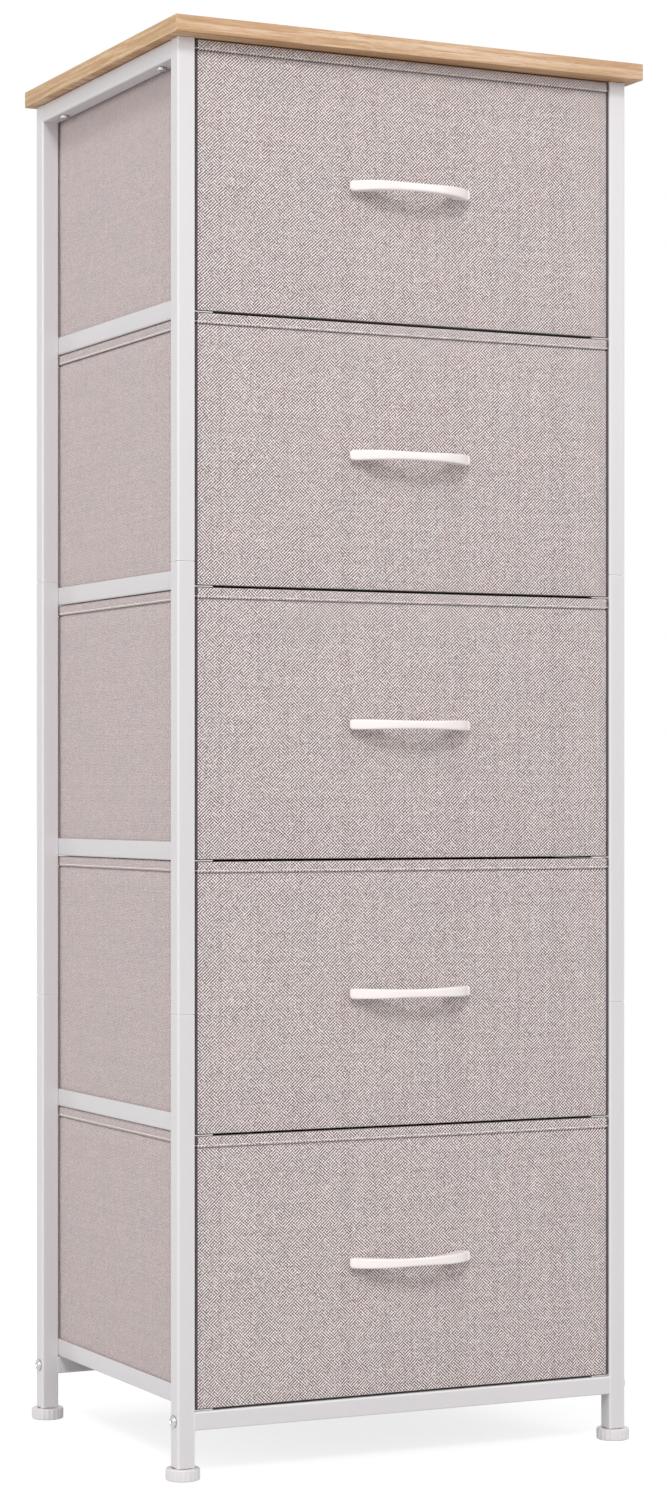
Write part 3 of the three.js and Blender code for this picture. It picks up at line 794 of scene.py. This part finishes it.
def pad_rows():
    """(radius, height, depth of the flutes) of the pad, from its hollowed underside into its bore."""
    hollow_inset, hollow_slope, hollow_depth = 0.004, 0.0006, 0.0004
    hollow = PAD_RADIUS - PAD_BEVEL - hollow_inset
    rows = [(hollow, hollow_depth, 0.0), (hollow + hollow_slope, 0.0, 0.0)]
    for k, angle in enumerate(quarter(PAD_STEPS)):
        radius = PAD_RADIUS - PAD_BEVEL * (1 - math.sin(angle))
        rows.append((radius, PAD_BEVEL * (1 - math.cos(angle)), FLUTE_DEPTH * k / PAD_STEPS))
    for k, angle in enumerate(quarter(PAD_STEPS)):
        radius = PAD_RADIUS - PAD_BEVEL * (1 - math.cos(angle))
        height = PAD_HEIGHT - PAD_BEVEL * (1 - math.sin(angle))
        rows.append((radius, height, FLUTE_DEPTH * (1 - k / PAD_STEPS)))
    rows += [
        (GROOVE_RADII[0], PAD_HEIGHT, 0.0),
        (GROOVE_RADII[0] - CHAMFER, PAD_HEIGHT - GROOVE_DEPTH, 0.0),
        (GROOVE_RADII[1] + CHAMFER, PAD_HEIGHT - GROOVE_DEPTH, 0.0),
        (GROOVE_RADII[1], PAD_HEIGHT, 0.0),
        (BORE + CHAMFER, PAD_HEIGHT, 0.0),
        (BORE, PAD_HEIGHT - CHAMFER, 0.0),
        (BORE, BORE_FLOOR, 0.0),
    ]
    return rows


def make_feet():
    angles, circle = around(FLUTES * FLUTE_STEPS)
    dip = ((1 - np.cos(FLUTES * angles)) / 2) ** 1.5
    for side_name, side in SIDES:
        for end, y, _ in ENDS:
            corner = f"{end}_{side_name}"
            centre = np.array([side * POST_X, y, 0.0])
            rings = []
            for radius, z, flute in pad_rows():
                rings.append(placed(circle * (radius - flute * dip)[:, None], z) + centre)
            shell = Shell()
            shell.loft(rings)
            pad, stud = f"{corner}_pad", f"{corner}_stud"
            piece(f"{corner}_glide", shell, FOOT_WHITE, pad, [f"{corner}_foot_pad"])
            shell = Shell()
            threaded(shell, Matrix.Identity(3), centre, STUD_SIDES, **STUD_THREAD)
            piece(f"{corner}_thread", shell, ZINC, stud, [f"{corner}_foot_stud"])
            repaint(f"{corner}_foot_insert", FOOT_WHITE)


# Fabric drawers
SIDE_STEPS = 30
FRONT_STEPS = 38
CORNER_STEPS = 5
BIN_CORNER = 0.0009
LEAST_CORNER = 0.0006
RIM_RISE = 0.0008
TOP_RIM_RISE = -0.0007
WALL = 0.003
WALL_ROWS = 17
INNER_ROWS = 12
BOTTOM_SINK = 0.00015
BOTTOM_ROUND = 0.001
BOTTOM_STEPS = 4
FLOOR_START = 0.0024
FRONT_EXTRA = 0.0062
FRONT_FLARE = 0.0018
HEM_FLARE = 0.0008
FLARE_BACK = -0.1475
TAUT_BACK = -0.148
FRONT_LENGTH = 0.006
WAVE = 0.001
HEM_SHARE = 0.2
INSIDE_SHARE = 0.6
HEM_HEIGHT = 0.009
# The hem's fold, as (distance out from the wall, height over the hem's lower edge)
HEM_OUTSIDE = (
    (-0.0002, -0.0011), (-0.0009, -0.0009), (-0.0010, -0.0004), (-0.0009, 0.0001),
    (0.0004, 0.0001), (0.0008, 0.0003), (0.00085, 0.0008), (0.0007, 0.0013),
    (0.0005, 0.0017), (0.0007, 0.0021), (0.0009, 0.003), (0.00095, 0.0052),
)
HEM_INSIDE = (
    (-0.0036, 0.0045), (-0.0035, 0.0021), (-0.0032, 0.0017), (-0.0035, 0.0013),
    (-0.0036, 0.0007), (-0.0034, 0.0001), (-0.0028, -0.0002), (-WALL, -0.0012),
)
# The rim, as (distance out from the wall, depth under the top)
RIM_OUTSIDE = ((0.00085, 0.0012), (0.0005, 0.0005), (-0.0001, 0.0001), (-0.0008, 0.0))
RIM_INSIDE = ((-0.0022, 0.0), (-0.0030, 0.0002), (-0.0034, 0.0008))
# The inner floor, as (distance out from the wall, height)
FLOOR = ((-0.0033, 0.0016), (-0.0045, 0.0014), (-0.012, 0.0014))
STITCH_RISE = 0.0017
# The rows of stitches, as (distance out from the wall, inside)
STITCH_ROWS = ((0.00072, 0), (-0.0034, 1))
# A stitch, as (place along it, thickness, distance out) from end to end, the first two as shares
STITCH = (
    (-0.5, 0.25, -0.0003), (-0.32, 0.9, -0.00002), (0.0, 1.0, 0.00004),
    (0.32, 0.9, -0.00002), (0.5, 0.25, -0.0003),
)


def bin_outline(half, front, back, radius):
    """Outline of a drawer from the middle of its back, counter-clockwise seen from above."""
    points = []

    def line(start, end, steps):
        for k in range(steps):
            t = k / steps
            points.append((start[0] + (end[0] - start[0]) * t, start[1] + (end[1] - start[1]) * t))

    def arc(cx, cy, start):
        for k in range(CORNER_STEPS):
            angle = math.radians(start + 90 * k / CORNER_STEPS)
            points.append((cx + radius * math.cos(angle), cy + radius * math.sin(angle)))

    flat = half - radius
    line((0, back), (-flat, back), FRONT_STEPS // 2)
    arc(-flat, back - radius, 90)
    line((-half, back - radius), (-half, front + radius), SIDE_STEPS)
    arc(-flat, front + radius, 180)
    line((-flat, front), (flat, front), FRONT_STEPS)
    arc(flat, front + radius, 270)
    line((half, front + radius), (half, back - radius), SIDE_STEPS)
    arc(flat, back - radius, 0)
    line((flat, back), (0, back), FRONT_STEPS // 2)
    return np.array(points)


def smooth(t):
    t = min(max(t, 0.0), 1.0)
    return t * t * (3 - 2 * t)


def lengths_along(path):
    """How far along a path each of its points lies."""
    steps = np.linalg.norm(np.diff(path, axis=0), axis=1)
    return np.concatenate([[0], np.cumsum(steps)])


def bin_profile(top):
    """(distance out, height, share of the waviness, inside) from the underside to the inner floor."""
    hem = top - HEM_HEIGHT
    wall_low, wall_high = BOTTOM_ROUND - BOTTOM_SINK, hem - 0.0015
    rows = [(-0.006, -BOTTOM_SINK, 0.0, 0)]
    for k, angle in enumerate(quarter(BOTTOM_STEPS)):
        out = BOTTOM_ROUND * (math.sin(angle) - 1)
        rise = BOTTOM_ROUND * (1 - math.cos(angle))
        rows.append((out, rise - BOTTOM_SINK, HEM_SHARE * k / BOTTOM_STEPS, 0))
    for k in range(1, WALL_ROWS):
        t = k / WALL_ROWS
        share = HEM_SHARE + (1 - HEM_SHARE) * math.sin(math.pi * t) ** 0.6
        rows.append((0.0, wall_low + (wall_high - wall_low) * t, share, 0))
    rows.append((0.0, wall_high, HEM_SHARE, 0))
    rows += [(out, hem + rise, HEM_SHARE, 0) for out, rise in HEM_OUTSIDE]
    rows += [(out, top - depth, HEM_SHARE, 0) for out, depth in RIM_OUTSIDE]
    rows += [(out, top - depth, HEM_SHARE, 1) for out, depth in RIM_INSIDE]
    rows += [(out, hem + rise, HEM_SHARE, 1) for out, rise in HEM_INSIDE]
    inner_high = rows[-1][1]
    for k in range(1, INNER_ROWS):
        t = k / INNER_ROWS
        share = HEM_SHARE + 0.5 * math.sin(math.pi * t)
        rows.append((-WALL, inner_high * (1 - t) + FLOOR_START * t, share, 1))
    rows.append((-WALL, FLOOR_START, 0.0, 1))
    rows += [(out, z, 0.0, 1) for out, z in FLOOR]
    return rows


def flared(outline, flare):
    """The outline with its front pulled wider on both sides by the stiff board, nearly up to the posts."""
    near = np.array([smooth((FLARE_BACK - y) / FRONT_LENGTH) for y in outline[:, 1]])
    wider = outline.copy()
    wider[:, 0] *= 1 + near * flare / WALL_HALF
    return wider


def shifted_outline(out, inside, flare):
    """The drawer's outline moved out: flared on the outside, behind the thick front on the inside."""
    front = WALL_FRONT - out + (FRONT_EXTRA if inside else 0.0)
    radius = max(BIN_CORNER + out, LEAST_CORNER)
    outline = bin_outline(WALL_HALF + out, front, WALL_BACK + out, radius)
    return outline if inside else flared(outline, flare)


def wall_wave(x, y, z, seed):
    """How far the cloth stands out from its flat wall: slow waves, but nearly flat in front."""
    on_front = smooth((TAUT_BACK - y) / FRONT_LENGTH)
    p = Vector((x * 7 + seed * 3.7, y * 7, z * 9 + seed))
    slow = noise.noise(p) * 0.55
    folds = noise.noise(Vector((x * 26, y * 26, z * 5 + seed * 5.1))) * 0.22
    sag = 0.35 * math.sin(math.pi * min(max(z / DRAWER_HEIGHT, 0), 1))
    soft = WAVE * min(max(slow + folds + sag, -0.5), 0.95)
    taut = WAVE * (noise.noise(p * 1.5) * 0.22 + 0.08)
    return soft * (1 - on_front) + taut * on_front


def make_bin(number):
    base = drawer_z(number)
    top = DRAWER_HEIGHT + (TOP_RIM_RISE if number == 1 else RIM_RISE)
    rows = bin_profile(top)
    heights = lengths_along([row[:2] for row in rows])
    reference = bin_outline(WALL_HALF, WALL_FRONT, WALL_BACK, BIN_CORNER)
    run = lengths_along(np.vstack([reference, reference[:1]]))
    count = len(reference)
    # The outline runs counter-clockwise, so its outside is on the right
    ahead = np.roll(reference, -1, 0) - np.roll(reference, 1, 0)
    outward = np.stack([ahead[:, 1], -ahead[:, 0]], 1) / np.linalg.norm(ahead, axis=1)[:, None]
    vertices = []
    for out, z, share, inside in rows:
        outline = shifted_outline(out, inside, HEM_FLARE if z > top - HEM_HEIGHT else FRONT_FLARE)
        for (x, y), (wall_x, wall_y), (nx, ny) in zip(outline, reference, outward):
            shift = share * wall_wave(wall_x, wall_y, z, number) * (INSIDE_SHARE if inside else 1.0)
            vertices.append((x + nx * shift, y + ny * shift, base + z))
    faces, uv = [], []
    for k in range(len(rows) - 1):
        v0, v1 = heights[k], heights[k + 1]
        for i in range(count):
            j = (i + 1) % count
            faces.append((k * count + i, (k + 1) * count + i, (k + 1) * count + j, k * count + j))
            uv += [(run[i], v0), (run[i], v1), (run[i + 1], v1), (run[i + 1], v0)]
    final = (len(rows) - 1) * count
    for cap in (tuple(range(count)), tuple(reversed(range(final, final + count)))):
        faces.append(cap)
        uv += [(vertices[i][0], vertices[i][1]) for i in cap]
    shell = Shell()
    shell.add(vertices, faces)
    piece(
        f"drawer_{number}_fabric", shell, CLOTH, f"drawer_{number}",
        [f"drawer_{number}_bin"], uv, 50.0,
    )
    make_stitches(number, base + top - HEM_HEIGHT + STITCH_RISE, outward)


def make_stitches(number, level, outward):
    """A row of stitches round the rim outside and one inside."""
    shell = Shell()
    uv = []
    for out, inside in STITCH_ROWS:
        sew(shell, uv, shifted_outline(out, inside, HEM_FLARE), outward, level, number, inside)
    piece(
        f"drawer_{number}_stitching", shell, THREAD, f"drawer_{number}",
        (), uv, 60.0,
    )


def sew(shell, uv, outline, outward, level, seed, inside):
    """Stitches along a closed outline: short rounded lengths of thread whose ends dip into the cloth."""
    pitch, length, radius, sides, hem_z = 0.0034, 0.0029, 0.00046, 6, 0.21
    closed = np.vstack([outline, outline[:1]])
    normals = np.vstack([outward, outward[:1]]) * (-1 if inside else 1)
    wave_share = HEM_SHARE * (-INSIDE_SHARE if inside else 1.0)
    run = lengths_along(closed)
    total = run[-1]
    number = int(total / pitch)
    _, circle = around(sides)
    last = (len(STITCH) - 1) * sides
    for n in range(number):
        centre = (n + 0.5) * total / number
        points = []
        for place, size, sink in STITCH:
            s = (centre + place * length) % total
            x, y = (np.interp(s, run, closed[:, a]) for a in (0, 1))
            nx, ny = (np.interp(s, run, normals[:, a]) for a in (0, 1))
            wave = wall_wave(x, y, hem_z, seed) * wave_share
            for cosine, sine in circle * radius * size:
                out = sink + wave + cosine
                points.append((x + nx * out, y + ny * out, level + sine))
        faces = []
        for k, start in enumerate(range(0, last, sides)):
            faces += band(start, start + sides, sides)
            u0, u1 = (centre + STITCH[m][0] * length for m in (k, k + 1))
            for i in range(sides):
                w0, w1 = i * radius, (i + 1) * radius
                uv.extend([(u0, w0), (u0, w1), (u1, w1), (u1, w0)])
        faces.append(tuple(reversed(range(sides))))
        faces.append(tuple(range(last, last + sides)))
        uv.extend([(centre, 0.0)] * sides * 2)
        if inside:
            faces = [tuple(reversed(f)) for f in faces]
        shell.add(points, faces)


def make_base_board(number):
    """The stiff board in the drawer's floor, wrapped in the same cloth."""
    corner, edge = 0.0035, 0.0012
    low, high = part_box(f"drawer_{number}_base_board")
    shell = slab(low, high, corner, edge, 5)
    points = [shell.vertices[i] for face in shell.faces for i in face]
    uv = [(x, y + z) for x, y, z in points]
    piece(
        f"drawer_{number}_floor", shell, CLOTH, f"drawer_{number}",
        [f"drawer_{number}_base_board"], uv,
    )


# Bow handles
HANDLE_BACK = -0.15515
HANDLE_RISE = 0.1142
HANDLE_HALF = 0.058
HANDLE_STEPS = 40
HANDLE_SCREW_X = 0.048
HANDLE_SCREW_Y = -0.14645


def handle_section(x, centre_z):
    """The handle's outline at a place along it, where 0 is its middle."""
    reach, strap, end_reach, fullness = 0.0245, 0.004, 0.0086, 3.4
    end_radius, end_cut, inner_end, tip_radius = 0.0036, 0.0045, 0.0454, 0.003
    end_height, waist_cut, largest_corner = 0.0088, 0.0017, 0.0017
    softness, sink, least, corner_share = 0.001, 0.0002, 0.0008, 0.92
    away = abs(x)
    outer_end = HANDLE_HALF - end_radius
    beyond = min(max(away - outer_end, 0.0), end_radius)
    drop = end_radius - math.sqrt(end_radius ** 2 - beyond ** 2)
    front = reach - (reach - end_reach) * min(away / outer_end, 1.0) ** fullness - drop
    # The bow leaves the cloth at inner_end, and the back's corners are cut away at the ends
    bow = (reach - strap) * (1 - (away / inner_end) ** 2)
    inner = 0.5 * (bow + math.sqrt(bow ** 2 + softness ** 2)) - sink
    cut = (end_reach - end_radius) * (away - HANDLE_HALF + end_cut) / end_cut
    inner = max(inner, cut, 0.0)
    front = max(front, inner + least)
    waist = math.cos(x / HANDLE_HALF * math.pi / 2) ** 2
    tip = max(away - HANDLE_HALF + tip_radius, 0.0)
    half_z = (end_height - waist_cut * waist) / 2 - tip_radius + math.sqrt(tip_radius ** 2 - tip ** 2)
    half_y = (front - inner) / 2
    corner = min(largest_corner, corner_share * half_y, corner_share * half_z)
    return rounded(half_y, half_z, corner, 7, (HANDLE_BACK - (front + inner) / 2, centre_z))


def make_handle(number):
    body = f"drawer_{number}"
    centre_z = drawer_z(number) + HANDLE_RISE
    rings = []
    for k in range(-HANDLE_STEPS, HANDLE_STEPS + 1):
        x = HANDLE_HALF * math.sin(math.pi / 2 * k / HANDLE_STEPS)
        rings.append(placed(handle_section(x, centre_z), x, "yzx"))
    shell = Shell()
    shell.loft(rings)
    piece(f"{body}_pull", shell, HANDLE_WHITE, body, [f"{body}_handle"], None, 35.0)
    # The two screws from inside
    for side_name, side in SIDES:
        make_screw(
            f"{body}_pull_screw_{side_name}", f"{body}_handle_screw_{side_name}", body,
            (side * HANDLE_SCREW_X, HANDLE_SCREW_Y, centre_z), (0, 1, 0),
            CROSS_HEAD, SCREW_SIDES, HANDLE_THREAD,
        )


make_board()
make_frame()
make_fasteners()
make_feet()
for drawer in range(1, DRAWERS + 1):
    make_bin(drawer)
    make_base_board(drawer)
    make_handle(drawer)
    repaint(f"drawer_{drawer}_front_board", FIBRE)


# Studio: floor, world, lamps and camera
FLOOR_REACH = 60.0
WORLD_STRENGTH = 0.66
TARGET = (0.0, 0.0, 0.6)
# Each lamp's name, place, width and power in watts
LAMPS = (
    ("key", (-2.2, -4.4, 4.3), 1.4, 136.0),
    ("right_fill", (2.6, -4.6, 2.4), 2.4, 35.0),
    ("side_fill", (-4.2, -0.6, 1.6), 1.6, 34.0),
)


def larger(tree, a, b):
    made = tree.nodes.new("ShaderNodeMath")
    made.operation = "MAXIMUM"
    tree.links.new(a, made.inputs[0])
    tree.links.new(b, made.inputs[1])
    return made.outputs[0]


def lit_for_camera(tree, plain, bright):
    """Shows the second shader to camera, glossy and transmission rays, and the first to the rest."""
    path = tree.nodes.new("ShaderNodeLightPath")
    seen = larger(tree, path.outputs["Is Camera Ray"], path.outputs["Is Glossy Ray"])
    seen = larger(tree, seen, path.outputs["Is Transmission Ray"])
    mix = tree.nodes.new("ShaderNodeMixShader")
    tree.links.new(seen, mix.inputs[0])
    tree.links.new(plain.outputs[0], mix.inputs[1])
    tree.links.new(bright.outputs[0], mix.inputs[2])
    return mix


def grey(tree, kind, value, strength=None):
    """A shader of the given kind in a grey, with a strength where it takes one."""
    made = tree.nodes.new(kind)
    made.inputs["Color"].default_value = (value, value, value, 1)
    if strength is not None:
        made.inputs["Strength"].default_value = strength
    return made


def make_floor():
    mesh = bpy.data.meshes.new("floor")
    corners = [(FLOOR_REACH * sx, FLOOR_REACH * sy, 0) for sx, sy in CORNERS[2:] + CORNERS[:2]]
    mesh.from_pydata(corners, [], [(0, 1, 2, 3)])
    floor = bpy.data.objects.new("floor", mesh)
    bpy.context.scene.collection.objects.link(floor)
    material = bpy.data.materials.new("floor")
    material.use_nodes = True
    tree = material.node_tree
    tree.nodes.clear()
    plain = grey(tree, "ShaderNodeBsdfDiffuse", 0.66)
    seen = grey(tree, "ShaderNodeBsdfDiffuse", 0.36)
    glow = grey(tree, "ShaderNodeEmission", 1, 0.8)
    both = tree.nodes.new("ShaderNodeAddShader")
    tree.links.new(seen.outputs[0], both.inputs[0])
    tree.links.new(glow.outputs[0], both.inputs[1])
    mix = lit_for_camera(tree, plain, both)
    out = tree.nodes.new("ShaderNodeOutputMaterial")
    tree.links.new(mix.outputs[0], out.inputs["Surface"])
    mesh.materials.append(material)


def make_world():
    world = bpy.data.worlds.new("studio")
    bpy.context.scene.world = world
    world.use_nodes = True
    tree = world.node_tree
    tree.nodes.clear()
    plain = grey(tree, "ShaderNodeBackground", 1, WORLD_STRENGTH)
    bright = grey(tree, "ShaderNodeBackground", 1, 1.0)
    mix = lit_for_camera(tree, plain, bright)
    out = tree.nodes.new("ShaderNodeOutputWorld")
    tree.links.new(mix.outputs[0], out.inputs["Surface"])


def make_lamp(name, place, size, power):
    light = bpy.data.lights.new(name, "AREA")
    light.shape = "DISK"
    light.size = size
    light.energy = power
    lamp = bpy.data.objects.new(name, light)
    lamp.location = place
    lamp.rotation_mode = "QUATERNION"
    lamp.rotation_quaternion = (Vector(TARGET) - Vector(place)).to_track_quat("-Z", "Y")
    bpy.context.scene.collection.objects.link(lamp)


def make_camera():
    data = bpy.data.cameras.new("camera")
    data.sensor_width = 36.0
    data.lens = 81.448
    data.shift_x = 0.0007
    data.shift_y = 0.03052
    data.clip_start = 0.05
    data.clip_end = 60.0
    camera = bpy.data.objects.new("camera", data)
    camera.location = (-1.3347, -2.75863, 0.57204)
    camera.rotation_euler = (math.radians(90), 0, math.radians(-25.867))
    bpy.context.scene.collection.objects.link(camera)
    bpy.context.scene.camera = camera


make_floor()
make_world()
for lamp_name, lamp_place, lamp_size, lamp_power in LAMPS:
    make_lamp(lamp_name, lamp_place, lamp_size, lamp_power)
make_camera()
bpy.context.scene.view_settings.view_transform = "Standard"
